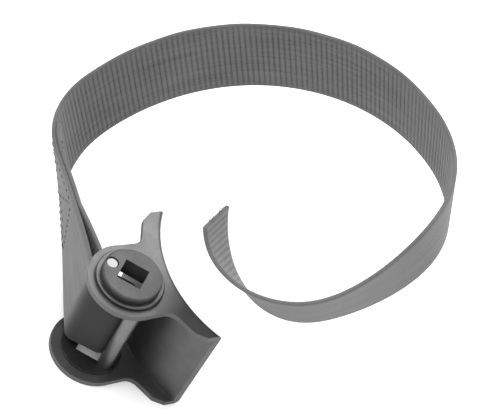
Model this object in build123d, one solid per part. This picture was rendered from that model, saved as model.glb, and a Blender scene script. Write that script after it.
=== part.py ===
"""Oil filter wrench: a pressed steel bracket, a square-drive spool that turns in it, and a
webbing strap whose sewn eye hangs on one of the spool's two pins.

Frame: millimetres, +Z up along the spool's axis, origin on that axis at the underside of
the bracket's lower plate, on which the wrench stands. +Y points from the spool to the
hollow of the saddle, where the oil filter is held.
"""
from build123d import *
import math
import os

import numpy as np

os.makedirs("parts", exist_ok=True)

# ---- bracket, mm -------------------------------------------------------------------------
BRACKET_HEIGHT = 63.5      # 2 1/2 inch over the outside of both plates
PLATE = 3.0                # thickness of the steel
BOSS_RADIUS = 21.7         # round end of the plates, about the spool's axis
BOSS_ENDS_AT = 7           # degrees from +X where the round end turns into a straight side
ELBOW = (21.1, 15.6)       # inner corner between the round end and an arm
ELBOW_RADIUS = 7
ARM_SHOULDER = (35.0, 22.6)
ARM_SIDE = (39.0, 28.5)    # from here the arm's side runs straight to its tip
SADDLE_RADIUS = 68         # hollow that rests on the filter
SADDLE_CENTRE_Y = 92.5
FOLD_RADIUS = 2.6          # outside radius where the web turns into the plates

# ---- spool -------------------------------------------------------------------------------
DRIVE_SQUARE = 12.8        # across flats: a socket for a 1/2 inch square drive
SOCKET_TURN = 45           # degrees, so that the socket's corners point along X and Y
JOURNAL_RADIUS = 15.6
RUNNING_CLEARANCE = 0.06   # radial, journal in plate
END_PLAY = 0.15            # axial gap between a plate and the parts each side of it
HEAD_PROUD = 5.7           # the head stands this far out of the upper plate
HEAD_CHAMFER = 0.7
FLANGE_RADIUS = 16.4
FLANGE_THICK = 1.3
RING_OUTER = 18.0
RING_THICK = 2.0
RING_ROUND = 0.7
RING_BORE_CLEARANCE = 0.02
RING_GAP_ANGLE = 134       # degrees from +X
RING_GAP = 4
GROOVE_DEPTH = 0.4
FOOT_RECESS = 0.2          # the foot's underside lies this far inside the lower plate
FOOT_TOP = 4.15

PIN_RADIUS = 3.175         # 1/4 inch: both pins in the holes, and the strap pin all along
GRIP_BODY_RADIUS = 3.97    # 5/16 inch: the grip pin between the foot and the head
PIN_HOLE_CLEARANCE = 0.025
STRAP_PIN = (-8.5, -8.0)
GRIP_PIN = (11.0, 3.6)
PIN_CHAMFER = 0.4
PIN_BASE = 1.0             # both pins stand in blind holes of the foot from this level
STRAP_PIN_RECESS = 0.6     # its end lies this far below the head's top face
GRIP_PIN_TOP = 62.8        # it ends blind, below the ring's groove

# ---- strap -------------------------------------------------------------------------------
STRAP_WIDTH = 50.8         # 2 inch webbing
STRAP_THICK = 2.25
PLY_GAP = 0.1              # between the two plies where they are sewn together
EYE_RADIUS = 4.45          # to the middle of the webbing, round the strap pin
EYE_REACH = 13.5           # the slack eye runs this far from the strap pin
EYE_HEADING = 47.6         # degrees from +X, in towards the grip pin
EYE_BEND = 4.4             # radius of the eye's bends
EYE_TAIL = 25              # the plies are drawn this long before the sweep cuts them off
SPOOL_SWEEP = 18.2         # everything on the spool turns inside this radius
STRAP_START = (-9.65, -12.3, 31.5)
START_HEADING = 165        # degrees from +X, seen from above
# How the slack strap bends on its way round, as (length, turn in degrees).
STRAP_BENDS = [
    (82, 4),               # out of the spool, nearly straight
    (55, -60),             # round the near corner
    (60, -28),             # up the side
    (172, -86),            # the wide far curve
    (62, -60),             # the right-hand end of the loop
    (64, -24),             # back towards the bracket
    (86, -116),            # the free end curls in
]
# How far its upper edge leans, as (distance along, lean in x, lean in y).
STRAP_LEANS = [
    (0, 0, 0),
    (20, -0.02, -0.08),
    (100, -0.14, -0.42),
    (330, -0.12, -0.43),
    (430, -0.05, -0.40),
    (500, 0.28, -0.36),
    (580, 0.55, -0.74),
]
BEND_EASE = 24             # a bend grows and dies over this length
LEAN_EASE = 48
SECTION_STEP = 12.5        # spacing of the strap's sections
LOOP_FROM = 8.0            # the loop is clear of the spool from here
FOLD_FROM = 12.5
FOLD_MEETS = 45.0          # the turned-back ply reaches the loop here
FOLD_TO = 100.0            # and is cut off here

# ---- stitching: a sewn box with crossed diagonals ---------------------------------------
SEAM_FROM, SEAM_TO = 48.0, 94.0
SEAM_MARGIN = 4.5          # from the strap's edges
STITCH_PITCH = 4.2
STITCH = (3.0, 0.7, 0.35)  # length, width, height of a thread's visible stitch
STITCH_LIFT = 0.2          # it stands this far off the webbing, which twists beneath it

# ---- levels along the axis, and tools that cut ------------------------------------------
UPPER_IN = BRACKET_HEIGHT - PLATE
SPOOL_TOP = BRACKET_HEIGHT + HEAD_PROUD
HEAD_UNDERSIDE = UPPER_IN - END_PLAY - FLANGE_THICK
RING_LOW = BRACKET_HEIGHT + END_PLAY
OVERSIZE = 200             # a cutting block that is larger than the part


def cylinder(radius, low, high, at=(0, 0)):
    """A round bar along Z between two levels."""
    place = Pos(at[0], at[1], low)
    return place * Cylinder(radius, high - low, align=(Align.CENTER, Align.CENTER, Align.MIN))


# ---- bracket -----------------------------------------------------------------------------
def plate_outline():
    """The plates' outline: round about the spool, then two arms up to the saddle's tips."""
    turn = math.radians(BOSS_ENDS_AT)
    boss_end = (BOSS_RADIUS * math.cos(turn), BOSS_RADIUS * math.sin(turn))
    tip_x = ARM_SIDE[0]
    tip = (tip_x, SADDLE_CENTRE_Y - math.sqrt(SADDLE_RADIUS**2 - tip_x**2))
    side = [boss_end, ELBOW, ARM_SHOULDER, ARM_SIDE, tip]
    other_side = [(-x, y) for x, y in side]
    with BuildSketch() as outline:
        with BuildLine():
            Polyline(*side)
            ThreePointArc(tip, (0, SADDLE_CENTRE_Y - SADDLE_RADIUS), other_side[-1])
            Polyline(*other_side)
            ThreePointArc(other_side[0], (0, -BOSS_RADIUS), boss_end)
        make_face()
        fillet([v for v in outline.vertices() if abs(v.Y - ELBOW[1]) < 0.01], ELBOW_RADIUS)
    return outline.sketch


def bracket():
    """One strip of steel pressed into a U: two plates joined by the web along the saddle."""
    block = extrude(plate_outline(), BRACKET_HEIGHT)
    saddle_edges = [
        e
        for e in block.edges().filter_by(GeomType.CIRCLE)
        if abs(e.radius - SADDLE_RADIUS) < 0.01
    ]
    block = fillet(saddle_edges, FOLD_RADIUS)
    room = Pos(0, 0, PLATE) * Box(
        OVERSIZE, OVERSIZE, UPPER_IN - PLATE, align=(Align.CENTER, Align.CENTER, Align.MIN)
    )
    web_side = cylinder(SADDLE_RADIUS + PLATE, 0, BRACKET_HEIGHT, (0, SADDLE_CENTRE_Y))
    bores = cylinder(JOURNAL_RADIUS + RUNNING_CLEARANCE, 0, BRACKET_HEIGHT)
    return block - (room - web_side) - bores


# ---- spool -------------------------------------------------------------------------------
def socket():
    """The square drive hole, right through."""
    return Rot(0, 0, SOCKET_TURN) * Box(DRIVE_SQUARE, DRIVE_SQUARE, OVERSIZE)


def pin_hole(at, low, high):
    """The hole that a pin is pressed into."""
    return cylinder(PIN_RADIUS + PIN_HOLE_CLEARANCE, low, high, at)


def drive_head():
    """The upper boss: a flange under the plate, a ring groove over it, the square socket."""
    head = cylinder(JOURNAL_RADIUS, HEAD_UNDERSIDE, SPOOL_TOP)
    head = chamfer(head.edges().group_by(Axis.Z)[-1], HEAD_CHAMFER)
    head += cylinder(FLANGE_RADIUS, HEAD_UNDERSIDE, HEAD_UNDERSIDE + FLANGE_THICK)
    groove = cylinder(RING_OUTER, RING_LOW, RING_LOW + RING_THICK)
    groove -= cylinder(JOURNAL_RADIUS - GROOVE_DEPTH, RING_LOW, RING_LOW + RING_THICK)
    head = head - groove - socket()
    head -= pin_hole(STRAP_PIN, 0, SPOOL_TOP)
    head -= pin_hole(GRIP_PIN, 0, GRIP_PIN_TOP + PIN_HOLE_CLEARANCE)
    return head


def foot_disc():
    """The lower boss: its journal fills the plate's hole and its flange lies over the plate."""
    foot = cylinder(JOURNAL_RADIUS, FOOT_RECESS, FOOT_TOP)
    foot += cylinder(FLANGE_RADIUS, PLATE + END_PLAY, FOOT_TOP)
    foot -= socket()
    for at in (STRAP_PIN, GRIP_PIN):
        foot -= pin_hole(at, PIN_BASE - PIN_HOLE_CLEARANCE, SPOOL_TOP)
    return foot


def retaining_ring():
    """A split ring in the head's groove, lying on the upper plate."""
    bore = JOURNAL_RADIUS - GROOVE_DEPTH + RING_BORE_CLEARANCE
    ring = cylinder(RING_OUTER, RING_LOW, RING_LOW + RING_THICK)
    rim = ring.edges().filter_by(GeomType.CIRCLE).group_by(Axis.Z)[-1]
    ring = fillet(rim, RING_ROUND)
    ring -= cylinder(bore, RING_LOW, RING_LOW + RING_THICK)
    gap = Box(RING_OUTER, RING_GAP, OVERSIZE, align=(Align.MIN, Align.CENTER, Align.CENTER))
    return ring - Rot(0, 0, RING_GAP_ANGLE) * gap


def pin(at, high):
    """A bright rod in the holes of the foot and the head."""
    rod = cylinder(PIN_RADIUS, PIN_BASE, high, at)
    return chamfer(rod.edges().filter_by(GeomType.CIRCLE), PIN_CHAMFER)


def strap_pin():
    """The pin in the strap's eye. Its upper end shows in the head's top face."""
    return pin(STRAP_PIN, SPOOL_TOP - STRAP_PIN_RECESS)


def grip_pin():
    """The thicker pin, whose shoulders keep the foot and the head apart."""
    low, high = FOOT_TOP + PIN_HOLE_CLEARANCE, HEAD_UNDERSIDE - PIN_HOLE_CLEARANCE
    return pin(GRIP_PIN, GRIP_PIN_TOP) + cylinder(GRIP_BODY_RADIUS, low, high, GRIP_PIN)


# ---- strap -------------------------------------------------------------------------------
def eased(values, length):
    """A moving average over a length in whole millimetres."""
    pad = np.pad(values, length // 2, mode="edge")
    return np.convolve(pad, np.ones(length) / length, "valid")[: len(values)]


def strap_lie():
    """The strap's middle line each millimetre, with its upper-edge and inward directions.

    The heading turns bend by bend. The strap stands on edge on a ground that tips as its
    lean says, so its direction is the level heading turned by the smallest turn that takes
    +Z to the leaning upper-edge direction.
    """
    lengths = np.array([length for length, _ in STRAP_BENDS])
    turns = np.radians([turn for _, turn in STRAP_BENDS])
    along = np.arange(lengths.sum() + 1.0)
    which = np.minimum(np.searchsorted(np.cumsum(lengths), along, "right"), len(lengths) - 1)
    bend = eased((turns / lengths)[which], BEND_EASE)
    heading = math.radians(START_HEADING)
    heading += np.concatenate([[0], np.cumsum((bend[1:] + bend[:-1]) / 2)])
    lean = np.array(STRAP_LEANS, float)
    lean = [eased(np.interp(along, lean[:, 0], lean[:, i]), LEAN_EASE) for i in (1, 2)]
    up = np.column_stack([*lean, np.sqrt(1 - lean[0] ** 2 - lean[1] ** 2)])
    level = np.column_stack([np.cos(heading), np.sin(heading), 0 * heading])
    axis = np.cross([0, 0, 1.0], up)
    share = ((axis * level).sum(1) / (1 + up[:, 2]))[:, None]
    forward = level * up[:, 2:] + np.cross(axis, level) + axis * share
    steps = np.cumsum((forward[1:] + forward[:-1]) / 2, axis=0)
    middle = np.array(STRAP_START) + np.concatenate([np.zeros((1, 3)), steps])
    return middle, up, np.cross(forward, up)


LIE = strap_lie()
STRAP_LENGTH = len(LIE[0]) - 1


def lie_at(places):
    """The lie's three rows at distances along the strap, read between whole millimetres."""
    steps = np.arange(STRAP_LENGTH + 1)
    return [
        np.column_stack([np.interp(places, steps, rows[:, i]) for i in range(3)]) for rows in LIE
    ]


def ply_offset(places):
    """How far the turned-back ply's middle lies inside the loop's middle."""
    sewn = STRAP_THICK + PLY_GAP
    apart = np.clip(1 - np.asarray(places) / FOLD_MEETS, 0, 1)
    return sewn + (2 * EYE_RADIUS - sewn) * apart


def band(places, offset=0.0):
    """A closed strip of webbing with flat-cut ends, ruled from section to section."""
    middle, up, inward = lie_at(places)
    middle = middle + inward * np.reshape(offset, (-1, 1))
    wires = []
    for centre, edge, side in zip(middle, up * STRAP_WIDTH / 2, inward * STRAP_THICK / 2):
        corners = (centre - edge - side, centre + edge - side,
                   centre + edge + side, centre - edge + side)
        wires.append(Wire.make_polygon([Vector(*corner) for corner in corners]))
    return Solid.make_loft(wires, ruled=True)


def strap_loop():
    """The strap from the spool's edge round the loop to the free end."""
    places = np.arange(FOLD_FROM, STRAP_LENGTH, SECTION_STEP)
    return band(np.concatenate([[LOOP_FROM], places, [STRAP_LENGTH]]))


def strap_fold():
    """The turned-back ply, which closes on the loop and is sewn to it."""
    places = np.append(np.arange(FOLD_FROM, FOLD_TO, SECTION_STEP), FOLD_TO)
    return band(places, ply_offset(places))


def direction(degrees):
    """The level unit vector at an angle from +X."""
    return np.array([math.cos(math.radians(degrees)), math.sin(math.radians(degrees))])


def corner(first, second):
    """Where two lines meet that touch the eye's circle round the strap pin at two angles."""
    apart = math.radians((second - first) / 2)
    return np.array(STRAP_PIN) + direction((first + second) / 2) * EYE_RADIUS / math.cos(apart)


def strap_eye():
    """The slack eye: in past the strap pin, round a wide bend and out again behind it.

    Its middle line is a chain of straight runs with rounded corners. The webbing is half its
    thickness each side of it, as far as the spool sweeps.
    """
    closing = math.degrees(math.atan((2 * EYE_RADIUS - STRAP_THICK - PLY_GAP) / FOLD_MEETS))
    outward = START_HEADING + closing
    near_out, far_out = START_HEADING + 90, outward - 90
    near_in, far_in = 360 + EYE_HEADING - 90, EYE_HEADING + 90
    end = np.array(STRAP_PIN) + direction(EYE_HEADING) * (EYE_REACH + EYE_RADIUS)
    across = direction(far_in) * EYE_RADIUS
    start, finish = corner(near_out, near_in), corner(far_out, far_in)
    corners = [start + direction(START_HEADING) * EYE_TAIL, start, end - across, end + across,
               finish, finish + direction(outward) * EYE_TAIL]
    with BuildSketch() as webbing:
        with BuildLine():
            FilletPolyline(*[tuple(c) for c in corners], radius=EYE_BEND)
        trace(line_width=STRAP_THICK)
    eye = Pos(0, 0, STRAP_START[2] - STRAP_WIDTH / 2) * extrude(webbing.sketch, STRAP_WIDTH)
    return eye & cylinder(SPOOL_SWEEP, 0, SPOOL_TOP)


def stitching():
    """Thread on the outer face: a sewn box and its diagonals, one small bar a stitch."""
    top = STRAP_WIDTH / 2 - SEAM_MARGIN
    a, b, c, d = (SEAM_FROM, -top), (SEAM_TO, -top), (SEAM_TO, top), (SEAM_FROM, top)
    bars = []
    for start, end in ((a, b), (b, c), (c, d), (d, a), (a, c), (b, d)):
        run = np.subtract(end, start)
        count = int(np.hypot(*run) // STITCH_PITCH)
        direction = run / np.hypot(*run)
        for i in range(1, count):
            place, height = np.add(start, run * i / count)
            middle, up, inward = (rows[0] for rows in lie_at([place]))
            forward = np.cross(up, inward)
            surface = middle + up * height - inward * (STRAP_THICK / 2 + STITCH[2] / 2 + STITCH_LIFT)
            lengthwise = forward * direction[0] + up * direction[1]
            place_on = Plane(Vector(*surface), x_dir=Vector(*lengthwise), z_dir=Vector(*-inward))
            bars.append(place_on * Box(*STITCH))
    return Compound(children=bars)


PARTS = {
    "bracket": bracket,
    "drive_head": drive_head,
    "foot_disc": foot_disc,
    "retaining_ring": retaining_ring,
    "strap_pin": strap_pin,
    "grip_pin": grip_pin,
    "strap_eye": strap_eye,
    "strap_loop": strap_loop,
    "strap_fold": strap_fold,
    "stitching": stitching,
}

for name, make in PARTS.items():
    export_step(make(), f"parts/{name}.step")
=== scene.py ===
"""Looks of the oil filter wrench: steel bracket and spool, bright pins, woven strap and its sewing.

Lengths are in millimetres up to the meshes, which are in metres in the CAD model's own frame.
The strap's lie is worked out as its CAD solid's is, from the same bends and leans, and its cloth
is then drawn rib by rib.
"""
import math

import bpy
import numpy as np
from mathutils import Matrix, Vector


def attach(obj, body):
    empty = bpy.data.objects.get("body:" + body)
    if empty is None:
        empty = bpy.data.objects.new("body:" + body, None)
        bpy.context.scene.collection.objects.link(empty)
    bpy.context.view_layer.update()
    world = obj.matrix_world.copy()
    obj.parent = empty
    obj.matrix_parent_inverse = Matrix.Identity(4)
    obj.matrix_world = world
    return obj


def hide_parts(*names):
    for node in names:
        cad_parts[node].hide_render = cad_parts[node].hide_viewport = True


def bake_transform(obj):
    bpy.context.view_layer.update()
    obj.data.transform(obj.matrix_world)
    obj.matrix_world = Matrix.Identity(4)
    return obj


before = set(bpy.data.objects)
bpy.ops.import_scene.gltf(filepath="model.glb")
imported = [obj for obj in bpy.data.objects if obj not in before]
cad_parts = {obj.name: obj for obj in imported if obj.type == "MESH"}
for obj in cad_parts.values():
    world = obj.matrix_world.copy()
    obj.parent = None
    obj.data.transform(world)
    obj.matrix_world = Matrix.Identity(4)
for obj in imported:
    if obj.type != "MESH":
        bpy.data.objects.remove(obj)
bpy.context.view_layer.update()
MM = 0.001

# ---- strap, mm --------------------------------------------------------------------------
STRAP_WIDTH = 50.8
STRAP_THICK = 2.25
PLY_GAP = 0.1
STRAP_PIN = (-8.5, -8.0)
EYE_RADIUS = 4.45          # to the middle of the webbing, round the strap pin
EYE_REACH = 13.5           # the slack eye runs this far from the strap pin
EYE_HEADING = 47.6         # degrees from +X, in towards the grip pin
EYE_BEND = 4.4             # radius of the eye's bends
EYE_LEAVES = 8             # the eye's plies join the lie this far along it
ARC_POINTS = 10            # in each of the eye's bends
STRAP_START = (-9.65, -12.3, 31.5)  # where the lie touches the circle round the strap pin
START_HEADING = 165        # degrees from +X, seen from above
# (length, turn in degrees)
STRAP_BENDS = [(82, 4), (55, -60), (60, -28), (172, -86), (62, -60), (64, -24), (86, -116)]
# (distance along, lean of the upper edge in x, lean in y)
STRAP_LEANS = [
    (0, 0, 0),
    (20, -0.02, -0.08),
    (100, -0.14, -0.42),
    (330, -0.12, -0.43),
    (430, -0.05, -0.40),
    (500, 0.28, -0.36),
    (580, 0.55, -0.74),
]
BEND_EASE = 24
LEAN_EASE = 48
FOLD_MEETS = 45            # the turned-back ply reaches the loop here
FOLD_TO = 100              # and is cut off here
SPLIT = 45                 # inside this the cloth bends with the spool
RIB_PITCH = 3.15           # crosswise ribs on the inner face
RIB_HEIGHT = 0.32
STREAK_WIDTH = 2.2         # lengthwise streaks, drawn a few yarns wide so that they show
STREAK_LENGTH = 60
EYE_SHADE_REACH = 23.5           # painted shade: the eye between the pins is darkened this far each way from its middle
EYE_SHADE_EDGE = 0.9             # and the painted shade fades over a few times this
CLOTH_STEP = RIB_PITCH / 6
FACE_POINTS = 14           # across each flat face of the webbing
SELVEDGE_POINTS = 5        # round each selvedge
# The upper edge wanders as cloth does: (height, length of a radian, shift in radians).
EDGE_SWAY = ((0.22, 17, 0), (0.12, 5.3, 1))

# ---- sewing, mm -------------------------------------------------------------------------
SEAM_FROM, SEAM_TO = 48, 94  # the sewn box's ends, along the lie
SEAM_MARGIN = 4.5          # and how far in it lies from the webbing's edges
STITCH_PITCH = 4.2
STITCH_LENGTH = 2.6
THREAD_RADIUS = 0.3
THREAD_PROUD = 0.12        # a stitch's middle line stands this far off the cloth
THREAD_DIP = 0.5           # and its ends dip this far below that
FRAY_COUNT = 40
FRAY_DEPTH = 0.8           # yarn ends leave the cut up to this far each side of its middle
FRAY_LENGTHS = (0.8, 2.6)
FRAY_DRIFT = 0.45          # spread of how far they bend aside, over their length
YARN_RADIUS = 0.13

# ---- surface patterns: sizes in mm, and each one's share of the webbing's tone ----------
GRIT_SIZE, GRIT_DEPTH = 0.9, 0.1
GLOSS_SPREAD = 0.1         # a steel's roughness varies this much each way
BLOTCH_SIZE, BLOTCH_SHARE = 30, 0.25
FIBRE_SIZE, FIBRE_SHARE = 1.6, 0.3
STREAK_SHARE = 0.45
# painted shade in the furrows between the inner face's ribs, and painted light on their crests
RIB_FURROW_SHADE_SHARE = 0.4
RIB_MEAN = 0.6             # about the mean of |sin|, so that ribs leave the mean tone alone
CLOTH_DEPTH = 0.25
STRAND_SIZE, STRAND_DEPTH = 0.5, 0.1
EYE_SHADE_TINT = "6e6e6e"        # the painted shade on the eye multiplies the webbing's colour by this
STEEL_TONES = (0.3, 0.7)   # the pattern's values at the darkest and at the lightest tone
CLOTH_TONES = (0.2, 0.8)

# ---- view -------------------------------------------------------------------------------
CAMERA_PLACE = (0.3609, -0.375, 0.6587)
CAMERA_AZIMUTH, CAMERA_ELEVATION, CAMERA_ROLL = 40.56, 44.40, 32.63
LENS, SENSOR = 115.68, 36.0
FLOOR_HALF = 6.0           # m
SKY_STRENGTH = 1.35


# ---- meshes -----------------------------------------------------------------------------
def mesh_piece(name, points, faces, material, uv=None, shares=None, sharp=40):
    """A mesh object at the origin from points in millimetres, smooth between its sharp edges.

    An edge is sharp where its faces turn by more than that many degrees. The piece may carry its
    cloth map, and named shares from 0 to 1 at each point.
    """
    mesh = bpy.data.meshes.new(name)
    mesh.from_pydata((points * MM).tolist(), [], faces)
    mesh.polygons.foreach_set("use_smooth", np.ones(len(mesh.polygons), bool))
    mesh.set_sharp_from_angle(angle=math.radians(sharp))
    if uv is not None:
        layer = mesh.uv_layers.new(name="cloth")
        corner = np.empty(len(mesh.loops), int)
        mesh.loops.foreach_get("vertex_index", corner)
        layer.data.foreach_set("uv", (uv * MM)[corner].astype(np.float32).ravel())
    for label, values in (shares or {}).items():
        share = mesh.attributes.new(label, "FLOAT", "POINT")
        share.data.foreach_set("value", values.astype(np.float32).ravel())
    mesh.materials.append(material)
    piece = bpy.data.objects.new(name, mesh)
    bpy.context.collection.objects.link(piece)
    return piece


def closed_tubes(count, rows, around):
    """Faces of a number of equal tubes, wound outwards, each closed by a face at both ends."""
    i, j = np.meshgrid(np.arange(rows - 1), np.arange(around), indexing="ij")
    k = (j + 1) % around
    low, high = i * around, (i + 1) * around
    quads = np.stack([low + j, low + k, high + k, high + j], -1)
    first = np.arange(around)
    caps = np.stack([first[::-1], first + (rows - 1) * around])
    start = (np.arange(count) * rows * around)[:, None, None]
    sides = (quads.reshape(-1, 4)[None] + start).reshape(-1, 4)
    return sides.tolist() + (caps[None] + start).reshape(-1, around).tolist()


# ---- the strap's lie --------------------------------------------------------------------
def eased(values, length):
    """A moving average over a length in whole millimetres."""
    pad = np.pad(values, length // 2, mode="edge")
    return np.convolve(pad, np.ones(length) / length, "valid")[: len(values)]


def strap_lie():
    """Middle line and upper-edge direction each millimetre from the spool to the free end.

    The heading turns bend by bend. The strap stands on edge on a ground that tips as its lean
    says, so its direction is the level heading turned by the smallest turn that takes +Z to the
    leaning upper-edge direction.
    """
    lengths = np.array([length for length, _ in STRAP_BENDS])
    turns = np.radians([turn for _, turn in STRAP_BENDS])
    along = np.arange(lengths.sum() + 1.0)
    which = np.minimum(np.searchsorted(np.cumsum(lengths), along, "right"), len(lengths) - 1)
    bend = eased((turns / lengths)[which], BEND_EASE)
    heading = math.radians(START_HEADING) + np.concatenate([[0], np.cumsum((bend[1:] + bend[:-1]) / 2)])
    lean = np.array(STRAP_LEANS, float)
    lean = [eased(np.interp(along, lean[:, 0], lean[:, i]), LEAN_EASE) for i in (1, 2)]
    up = np.column_stack([*lean, np.sqrt(1 - lean[0] ** 2 - lean[1] ** 2)])
    level = np.column_stack([np.cos(heading), np.sin(heading), 0 * heading])
    axis = np.cross([0, 0, 1.0], up)
    share = ((axis * level).sum(1) / (1 + up[:, 2]))[:, None]
    forward = level * up[:, 2:] + np.cross(axis, level) + axis * share
    steps = np.cumsum((forward[1:] + forward[:-1]) / 2, axis=0)
    middle = np.array(STRAP_START) + np.concatenate([np.zeros((1, 3)), steps])
    return middle, up, np.cross(forward, up)


def direction(degrees):
    """The level unit vector at an angle from +X."""
    return np.array([math.cos(math.radians(degrees)), math.sin(math.radians(degrees)), 0])


def rounded(corners, radius):
    """Points along straight runs whose inner corners are arcs of one radius.

    An arc's centre lies on the corner's bisector, radius / sin(half the angle) away from it.
    Seen from there, its points are its first and last blended by sines, which keeps to the circle.
    """
    share = np.linspace(0, 1, ARC_POINTS)[:, None]
    points = []
    for before, at, after in zip(corners, corners[1:], corners[2:]):
        one, two = ((p - at) / np.linalg.norm(p - at) for p in (before, after))
        half = math.acos(one @ two) / 2
        centre = at + (one + two) / np.linalg.norm(one + two) * radius / math.sin(half)
        first, last = (at + run * radius / math.tan(half) - centre for run in (one, two))
        turn = math.pi - 2 * half
        swing = first * np.sin((1 - share) * turn) + last * np.sin(share * turn)
        points.append(centre + swing / math.sin(turn))
    return np.concatenate(points)


def slack_eye(start, finish):
    """The eye's middle line in plan, from the turned-back ply round to the loop.

    A corner by the strap pin is where two lines meet that touch the pin's circle at two angles.
    """
    pin = np.array([*STRAP_PIN, STRAP_START[2]])
    closing = math.degrees(math.atan((2 * EYE_RADIUS - STRAP_THICK - PLY_GAP) / FOLD_MEETS))
    bends = (
        (START_HEADING + closing - 90, EYE_HEADING + 90),
        (START_HEADING + 90, EYE_HEADING + 270),
    )
    corners = []
    for out, into in bends:
        reach = EYE_RADIUS / math.cos(math.radians((into - out) / 2))
        corners.append(pin + direction((out + into) / 2) * reach)
    end = pin + direction(EYE_HEADING) * (EYE_REACH + EYE_RADIUS)
    across = direction(EYE_HEADING + 90) * EYE_RADIUS
    return rounded([start, corners[0], end + across, end - across, corners[1], finish], EYE_BEND)


def whole_strap():
    """The strap as one length: the turned-back ply, the slack eye on the pin, then the loop.

    Gives the middle line, the upper-edge direction and the distance along, and the distances at
    which the turned-back ply and the loop are SPLIT from the spool.
    """
    middle, up, inward = strap_lie()
    back = np.arange(FOLD_TO, EYE_LEAVES - 1, -1)
    sewn = STRAP_THICK + PLY_GAP
    apart = np.clip(1 - back / FOLD_MEETS, 0, 1)[:, None]
    fold = middle[back] + inward[back] * (sewn + (2 * EYE_RADIUS - sewn) * apart)
    loop = middle[EYE_LEAVES:]
    eye = slack_eye(fold[-1], loop[0])
    line = np.concatenate([fold, eye, loop])
    edge = np.concatenate([up[back], np.repeat(up[:1], len(eye), 0), up[EYE_LEAVES:]])
    along = np.concatenate([[0], np.cumsum(np.linalg.norm(np.diff(line, axis=0), axis=1))])
    splits = along[FOLD_TO - SPLIT], along[len(fold) + len(eye) + SPLIT - EYE_LEAVES]
    return line, edge, along, splits


LINE, EDGE, ALONG, (IN_SPLIT, OUT_SPLIT) = whole_strap()
LIE_START = OUT_SPLIT - SPLIT


def strap_at(places):
    """Middle, upper-edge and face directions at distances along the whole strap."""
    middle, up, ahead, behind = (
        np.column_stack([np.interp(at, ALONG, rows[:, i]) for i in range(3)])
        for at, rows in ((places, LINE), (places, EDGE), (places + 1, LINE), (places - 1, LINE))
    )
    forward = ahead - behind
    forward /= np.linalg.norm(forward, axis=1)[:, None]
    up -= (up * forward).sum(1)[:, None] * forward
    up /= np.linalg.norm(up, axis=1)[:, None]
    return middle, up, np.cross(forward, up)


# ---- cloth ------------------------------------------------------------------------------
def cloth_section():
    """The webbing's section as (across, through), a flat bar with round selvedges, and its inner share.

    A face's points gather near the selvedges, as the 1.4th power of their distance from there.
    With v the share of half the thickness through, and w of half the width across, the inner
    share is v^2 (1 - w^8) on the ribbed side and 0 on the plain one.
    """
    half, radius = STRAP_WIDTH / 2, STRAP_THICK / 2
    flat = np.linspace(-1, 1, FACE_POINTS)
    flat = np.sign(flat) * (1 - (1 - abs(flat)) ** 1.4) * (half - radius)
    turn = np.linspace(-np.pi / 2, np.pi / 2, SELVEDGE_POINTS + 2)[1:-1]
    right = np.column_stack([half - radius + radius * np.cos(turn), radius * np.sin(turn)])
    plain = np.column_stack([flat, -radius + 0 * flat])
    ribbed = np.column_stack([flat[::-1], radius + 0 * flat])
    section = np.concatenate([plain, right, ribbed, right[::-1] * (-1, 1)])
    return section, np.clip(section[:, 1] / radius, 0, 1) ** 2 * (1 - (section[:, 0] / half) ** 8)


def webbing(name, start, end, material):
    """A stretch of the strap: the section carried along the line, with ribs on its inner face.

    The phase gains half a turn each rib pitch. A rib's height is RIB_HEIGHT times the sum of
    three quarters of |sin phase|^0.8 and a quarter of |sin 2 phase|, less a half. The upper edge
    sways by the sum of two slow waves. The eye's painted-shade share, which darkens the eye
    between the pins, is 1 / (1 + e^x), where x is the distance past the shade's reach over its fade.
    """
    count = max(2, int(round((end - start) / CLOTH_STEP)))
    places = np.linspace(start, end, count + 1)
    middle, up, face = strap_at(places)
    section, inner = cloth_section()
    phase = np.pi * places / RIB_PITCH
    rib = RIB_HEIGHT * (0.75 * abs(np.sin(phase)) ** 0.8 + 0.25 * abs(np.sin(2 * phase)) - 0.5)
    sway = sum(height * np.sin(places / length + shift) for height, length, shift in EDGE_SWAY)
    across = section[None, :, 0] + sway[:, None] * (section[None, :, 0] > 0)
    through = section[None, :, 1] + rib[:, None] * inner[None, :]
    points = middle[:, None] + up[:, None] * across[..., None] + face[:, None] * through[..., None]
    faces = closed_tubes(1, len(places), len(section))
    uv = np.stack([np.broadcast_to(places[:, None], across.shape), across], -1).reshape(-1, 2)
    # painted shade on the eye between the pins, fading off past its reach
    from_eye = abs(places - (IN_SPLIT + OUT_SPLIT) / 2) - EYE_SHADE_REACH
    shares = {
        "ribbed": np.broadcast_to(inner, across.shape),
        "eye_painted_shade": np.broadcast_to((1 / (1 + np.exp(from_eye / EYE_SHADE_EDGE)))[:, None], across.shape),
    }
    return mesh_piece(name, points.reshape(-1, 3), faces, material, uv, shares, sharp=60)


def stitch_places():
    """Each stitch's (distance along the loop, height, direction): a sewn box and its diagonals."""
    top = STRAP_WIDTH / 2 - SEAM_MARGIN
    corners = ((SEAM_FROM, -top), (SEAM_TO, -top), (SEAM_TO, top), (SEAM_FROM, top))
    found = []
    for a, b in ((0, 1), (1, 2), (2, 3), (3, 0), (0, 2), (1, 3)):
        run = np.subtract(corners[b], corners[a])
        size = np.hypot(*run)
        share = np.arange(1, int(size // STITCH_PITCH)) / int(size // STITCH_PITCH)
        place = np.array(corners[a]) + run * share[:, None]
        found.append(np.column_stack([place, np.repeat([run / size], len(share), 0)]))
    return np.concatenate(found)


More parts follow.
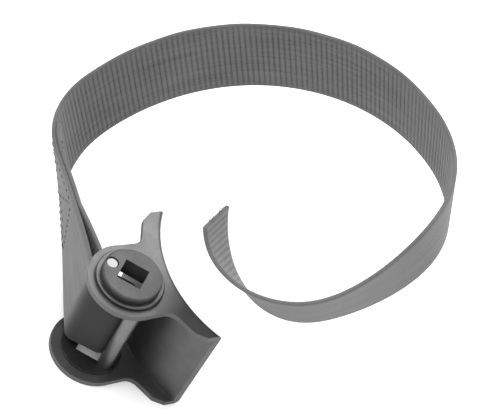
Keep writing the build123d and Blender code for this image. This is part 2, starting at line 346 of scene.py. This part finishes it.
def sewing(material):
    """Thread on both faces: each stitch is a thin bar, round in section, that dips into the cloth.

    With u from -1 to 1 along a stitch, its radius goes as the root of 1 - 0.75 u^4, so that its
    ends are half as thick as its middle, and it dips by THREAD_DIP u^4.
    """
    rows = stitch_places()
    ring, cells = 6, 7
    turn = np.linspace(0, 2 * np.pi, ring, endpoint=False)
    lengthwise = np.linspace(-1, 1, cells)
    thick = THREAD_RADIUS * np.sqrt(np.clip(1 - 0.75 * lengthwise**4, 0, 1))
    shape = np.stack(np.broadcast_arrays(
        (lengthwise * STITCH_LENGTH / 2)[:, None],
        thick[:, None] * np.cos(turn),
        thick[:, None] * np.sin(turn) - THREAD_DIP * (lengthwise**4)[:, None],
    ), -1).reshape(-1, 3)
    middle, up, inward = strap_at(LIE_START + rows[:, 0])
    forward = np.cross(up, inward)
    outer = middle + up * rows[:, 1:2] - inward * (STRAP_THICK / 2 + THREAD_PROUD)
    inner = middle + up * rows[:, 1:2] + inward * (1.5 * STRAP_THICK + PLY_GAP + THREAD_PROUD)
    along = forward * rows[:, 2:3] + up * rows[:, 3:4]
    points = []
    for place, out in ((outer, -inward), (inner, inward)):
        side = np.cross(out, along)
        points.append((place[:, None] + along[:, None] * shape[None, :, :1]
                       + side[:, None] * shape[None, :, 1:2] + out[:, None] * shape[None, :, 2:3]))
    faces = closed_tubes(2 * len(rows), cells, ring)
    return mesh_piece("sewing_thread", np.concatenate(points).reshape(-1, 3), faces, material)


def fray(name, place, seed, material):
    """Loose yarn ends at a cut end: hairs placed at random, each bending aside as t squared.

    t goes from 0 to 1 along a hair, and its radius thins to 0.4 of what it starts with.
    """
    chance = np.random.default_rng(seed)
    middle, up, face = (rows[0] for rows in strap_at(np.array([place])))
    away = np.cross(up, face) * (1 if place > ALONG[-1] / 2 else -1)
    cells, ring = 6, 4
    height = chance.uniform(-STRAP_WIDTH / 2, STRAP_WIDTH / 2, FRAY_COUNT)
    depth = chance.uniform(-FRAY_DEPTH, FRAY_DEPTH, FRAY_COUNT)
    length = chance.uniform(*FRAY_LENGTHS, FRAY_COUNT)
    drift = chance.normal(0, FRAY_DRIFT, (FRAY_COUNT, 2))
    t = np.linspace(0, 1, cells)
    start = middle + up * height[:, None] + face * depth[:, None]
    line = (start[:, None] + away * (length[:, None] * t)[..., None]
            + (up * drift[:, :1] + face * drift[:, 1:])[:, None] * (length[:, None] * t**2)[..., None])
    turn = np.linspace(0, 2 * np.pi, ring, endpoint=False)
    radius = (YARN_RADIUS * (1 - 0.6 * t))[None, :, None, None]
    side = np.cross(away, up)
    circle = (up * np.cos(turn)[:, None] + side * np.sin(turn)[:, None])[None, None]
    points = (line[:, :, None] + radius * circle).reshape(-1, 3)
    return mesh_piece(name, points, closed_tubes(FRAY_COUNT, cells, ring), material)


# ---- materials --------------------------------------------------------------------------
def linear(code):
    """An sRGB hex colour as linear red, green, blue and alpha."""
    parts = [int(code[i:i + 2], 16) / 255 for i in (0, 2, 4)]
    return (*[p / 12.92 if p <= 0.04045 else ((p + 0.055) / 1.055) ** 2.4 for p in parts], 1.0)


def add(tree, kind, links=None, **settings):
    """Adds a node, sets its properties and socket values, and links its sockets.

    A setting's name is a property of the node, a socket's name with _ for each space, or i and
    a socket's number.
    """
    node = tree.nodes.new(kind)
    for key, value in settings.items():
        if hasattr(node, key):
            setattr(node, key, value)
        else:
            node.inputs[int(key[1:]) if key[1:].isdigit() else key.replace("_", " ")].default_value = value
    for key, source in (links or {}).items():
        tree.links.new(source, node.inputs[key])
    return node


def finish_of(name, metallic=0.0, roughness=0.5, **more):
    """A named material with its shader, ready for its pattern nodes."""
    material = bpy.data.materials.new(name)
    material.use_nodes = True
    shader = material.node_tree.nodes["Principled BSDF"]
    shader.inputs["Metallic"].default_value = metallic
    shader.inputs["Roughness"].default_value = roughness
    for key, value in more.items():
        shader.inputs[key.replace("_", " ")].default_value = value
    return material, material.node_tree, shader


def steel(name, dark, light, roughness, mottle_mm, scratch, edge_mm):
    """Steel with a mottled surface, fine grit in its gloss and softly worn edges."""
    material, tree, shader = finish_of(name, metallic=1.0, roughness=roughness)
    place = add(tree, "ShaderNodeTexCoord")
    mottle = add(tree, "ShaderNodeTexNoise", {"Vector": place.outputs["Object"]},
                 Scale=1 / (mottle_mm * MM), Detail=5.0)
    ramp = add(tree, "ShaderNodeValToRGB", {"Fac": mottle.outputs["Fac"]})
    ramp.color_ramp.elements[0].color, ramp.color_ramp.elements[1].color = linear(dark), linear(light)
    ramp.color_ramp.elements[0].position, ramp.color_ramp.elements[1].position = STEEL_TONES
    tree.links.new(ramp.outputs["Color"], shader.inputs["Base Color"])
    grit = add(tree, "ShaderNodeTexNoise", {"Vector": place.outputs["Object"]},
               Scale=1 / (GRIT_SIZE * MM), Detail=3.0)
    gloss = add(tree, "ShaderNodeMapRange", {"Value": grit.outputs["Fac"]},
                i3=roughness - GLOSS_SPREAD, i4=roughness + GLOSS_SPREAD)
    tree.links.new(gloss.outputs["Result"], shader.inputs["Roughness"])
    edge = add(tree, "ShaderNodeBevel", samples=4, Radius=edge_mm * MM)
    bump = add(tree, "ShaderNodeBump", {"Height": grit.outputs["Fac"], "Normal": edge.outputs["Normal"]},
               Strength=scratch, Distance=GRIT_DEPTH * MM)
    tree.links.new(bump.outputs["Normal"], shader.inputs["Normal"])
    return material


def cloth(name, dark, light):
    """Heavy webbing: matt, streaked lengthwise by its warp, with painted shade in the furrows between its
    ribs.

    Its tone is the sum of blotches, streaks, fibres and ribs, each times its share. The strap's
    own map is in metres along and across it, so that painted shade falls in the furrow between every two
    ribs.
    The ribbed share keeps furrows to the inner face; painted shade darkens the eye between the pins.
    """
    material, tree, shader = finish_of(name, roughness=0.92, Sheen_Weight=0.1, Sheen_Roughness=0.5)
    place = add(tree, "ShaderNodeUVMap", uv_map="cloth").outputs["UV"]
    along = add(tree, "ShaderNodeSeparateXYZ", {"Vector": place}).outputs["X"]
    # The ribs' tone: painted shade in the furrows between ribs, painted light on their crests.
    angle = add(tree, "ShaderNodeMath", {0: along}, operation="MULTIPLY", i1=math.pi / (RIB_PITCH * MM))
    wave = add(tree, "ShaderNodeMath", {0: angle.outputs[0]}, operation="SINE")
    crest = add(tree, "ShaderNodeMath", {0: wave.outputs[0]}, operation="ABSOLUTE")
    level = add(tree, "ShaderNodeMath", {0: crest.outputs[0]}, operation="SUBTRACT", i1=RIB_MEAN)
    side = add(tree, "ShaderNodeAttribute", attribute_name="ribbed").outputs["Fac"]
    rib = add(tree, "ShaderNodeMath", {0: level.outputs[0], 1: side}, operation="MULTIPLY")
    drawn = add(tree, "ShaderNodeMapping", {"Vector": place},
                Scale=(1 / (STREAK_LENGTH * MM), 1 / (STREAK_WIDTH * MM), 1))
    streak = add(tree, "ShaderNodeTexNoise", {"Vector": drawn.outputs[0]}, Scale=1.0, Detail=3.0)
    fibre = add(tree, "ShaderNodeTexNoise", {"Vector": place}, Scale=1 / (FIBRE_SIZE * MM), Detail=4.0)
    broad = add(tree, "ShaderNodeTexNoise", {"Vector": place}, Scale=1 / (BLOTCH_SIZE * MM), Detail=2.0)
    tone = add(tree, "ShaderNodeMath", {0: broad.outputs["Fac"]}, operation="MULTIPLY",
               i1=BLOTCH_SHARE)
    patterns = (
        (streak.outputs["Fac"], STREAK_SHARE),
        (fibre.outputs["Fac"], FIBRE_SHARE),
        (rib.outputs[0], RIB_FURROW_SHADE_SHARE),
    )
    for pattern, share in patterns:
        tone = add(tree, "ShaderNodeMath", {0: pattern, 2: tone.outputs[0]},
                   operation="MULTIPLY_ADD", i1=share)
    ramp = add(tree, "ShaderNodeValToRGB", {"Fac": tone.outputs[0]})
    ramp.color_ramp.elements[0].color, ramp.color_ramp.elements[1].color = linear(dark), linear(light)
    ramp.color_ramp.elements[0].position, ramp.color_ramp.elements[1].position = CLOTH_TONES
    # painted shade: the eye between the pins is multiplied darker
    eye_shade = add(tree, "ShaderNodeAttribute", attribute_name="eye_painted_shade").outputs["Fac"]
    # On a colour mix, sockets 6 and 7 are its two colours, and output 2 is the mixed one.
    eye_shaded = add(tree, "ShaderNodeMix", data_type="RGBA", blend_type="MULTIPLY", i7=linear(EYE_SHADE_TINT))
    tree.links.new(eye_shade, eye_shaded.inputs[0])
    tree.links.new(ramp.outputs["Color"], eye_shaded.inputs[6])
    tree.links.new(eye_shaded.outputs[2], shader.inputs["Base Color"])
    bump = add(tree, "ShaderNodeBump", {"Height": tone.outputs[0]}, Strength=0.3, Distance=CLOTH_DEPTH * MM)
    tree.links.new(bump.outputs["Normal"], shader.inputs["Normal"])
    return material


def yarn(name, dark, light):
    """Twisted yarn: matt, in two tones that change along it as its strands turn."""
    material, tree, shader = finish_of(name, roughness=0.85, Sheen_Weight=0.1)
    place = add(tree, "ShaderNodeTexCoord")
    strand = add(tree, "ShaderNodeTexNoise", {"Vector": place.outputs["Object"]},
                 Scale=1 / (STRAND_SIZE * MM), Detail=3.0)
    ramp = add(tree, "ShaderNodeValToRGB", {"Fac": strand.outputs["Fac"]})
    ramp.color_ramp.elements[0].color, ramp.color_ramp.elements[1].color = linear(dark), linear(light)
    tree.links.new(ramp.outputs["Color"], shader.inputs["Base Color"])
    bump = add(tree, "ShaderNodeBump", {"Height": strand.outputs["Fac"]},
               Strength=0.4, Distance=STRAND_DEPTH * MM)
    tree.links.new(bump.outputs["Normal"], shader.inputs["Normal"])
    return material


# Pressed strip under a dull plating: a soft grey with broad mottling and softened edges.
PRESSED_STEEL = steel("pressed_steel_dull_zinc", "595959", "656565", 0.5, 14, 0.12, 0.4)
# Turned bar: darker than the strip, with a finer mottling.
TURNED_STEEL = steel("turned_steel_satin", "464646", "505050", 0.5, 9, 0.1, 0.5)
# A darker copy of the turned steel for the lower boss: painted shade under the upper plate.
FOOT_SHADE_STEEL = steel("turned_steel_shaded_foot", "3a3a3a", "484848", 0.45, 9, 0.1, 0.5)
# Stamped spring strip: a little darker than the pressed strip, and glossier.
SPRING_STEEL = steel("spring_steel_dull", "4c4c4c", "585858", 0.38, 6, 0.12, 0.4)
# Drawn bar: bright and even, with the sharpest highlight of them all.
BRIGHT_ROD = steel("drawn_steel_bright", "6c6c6c", "7a7a7a", 0.34, 12, 0.04, 0.2)
# Woven polyester: a matt mid grey with darker furrows.
WEBBING = cloth("polyester_webbing_grey", "383838", "686868")
# Bonded nylon thread: a little darker than the webbing.
THREAD = yarn("bonded_thread_dark", "2a2a2a", "3c3c3c")
# The webbing's own yarns where they have come loose at a cut end.
LOOSE_YARN = yarn("polyester_yarn_loose", "3c3c3c", "6a6a6a")

for node, material in {
    "bracket": PRESSED_STEEL, "drive_head": TURNED_STEEL, "foot_disc": FOOT_SHADE_STEEL,
    "retaining_ring": SPRING_STEEL, "strap_pin": BRIGHT_ROD, "grip_pin": BRIGHT_ROD,
}.items():
    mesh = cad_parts[node].data
    mesh.materials.clear()
    mesh.materials.append(material)

# ---- the strap's pieces -----------------------------------------------------------------
eye = webbing("webbing_eye", IN_SPLIT, OUT_SPLIT, WEBBING)
fold = webbing("webbing_fold", 0.0, IN_SPLIT, WEBBING)
loop = webbing("webbing_loop", OUT_SPLIT, ALONG[-1], WEBBING)
sewn = sewing(THREAD)
ends = [fray("fray_free_end", ALONG[-1], 3, LOOSE_YARN), fray("fray_fold_end", 0.0, 5, LOOSE_YARN)]

for piece, node in ((eye, "strap_eye"), (fold, "strap_fold"), (loop, "strap_loop"), (sewn, "stitching")):
    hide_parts(node)
for piece in (fold, loop, sewn, *ends):
    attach(piece, "frame")
hinge_side, loop_side = strap_at(np.array([LIE_START + EYE_LEAVES, OUT_SPLIT]))[0] * MM
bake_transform(eye)

# ---- floor, light and camera ------------------------------------------------------------
def panel(name, place, aim, size, watts):
    """A soft square light that faces a point."""
    light = bpy.data.lights.new(name, "AREA")
    light.energy, light.size = watts, size
    lamp = bpy.data.objects.new(name, light)
    lamp.location = place
    lamp.rotation_euler = (Vector(aim) - Vector(place)).to_track_quat("-Z", "Y").to_euler()
    bpy.context.collection.objects.link(lamp)


def pale_floor():
    """A wide sheet of white card under the wrench."""
    corners = [(x * FLOOR_HALF, y * FLOOR_HALF, 0) for x, y in ((-1, -1), (1, -1), (1, 1), (-1, 1))]
    mesh = bpy.data.meshes.new("floor")
    mesh.from_pydata(corners, [], [(0, 1, 2, 3)])
    material, _, shader = finish_of("white_card", roughness=0.9)
    shader.inputs["Base Color"].default_value = linear("fafafa")
    mesh.materials.append(material)
    floor = bpy.data.objects.new("floor", mesh)
    bpy.context.collection.objects.link(floor)


pale_floor()
panel("key_light", place=(-0.5, -0.5, 1.3), aim=(0, 0.05, 0.05), size=0.9, watts=10)
panel("fill_light", place=(-0.6, 0.75, 1.0), aim=(0, 0, 0.05), size=0.8, watts=9)
world = bpy.data.worlds.new("studio")
world.use_nodes = True
world.node_tree.nodes["Background"].inputs["Color"].default_value = (1, 1, 1, 1)
world.node_tree.nodes["Background"].inputs["Strength"].default_value = SKY_STRENGTH
bpy.context.scene.world = world
bpy.context.scene.view_settings.view_transform = "Standard"

lens = bpy.data.cameras.new("camera")
lens.lens, lens.sensor_width = LENS, SENSOR
camera = bpy.data.objects.new("camera", lens)
bpy.context.collection.objects.link(camera)
azimuth, tilt, roll = (math.radians(a) for a in (CAMERA_AZIMUTH, 90 - CAMERA_ELEVATION, CAMERA_ROLL))
camera.matrix_world = (
    Matrix.Translation(CAMERA_PLACE)
    @ Matrix.Rotation(azimuth, 4, "Z") @ Matrix.Rotation(tilt, 4, "X") @ Matrix.Rotation(roll, 4, "Z")
)
bpy.context.scene.camera = camera
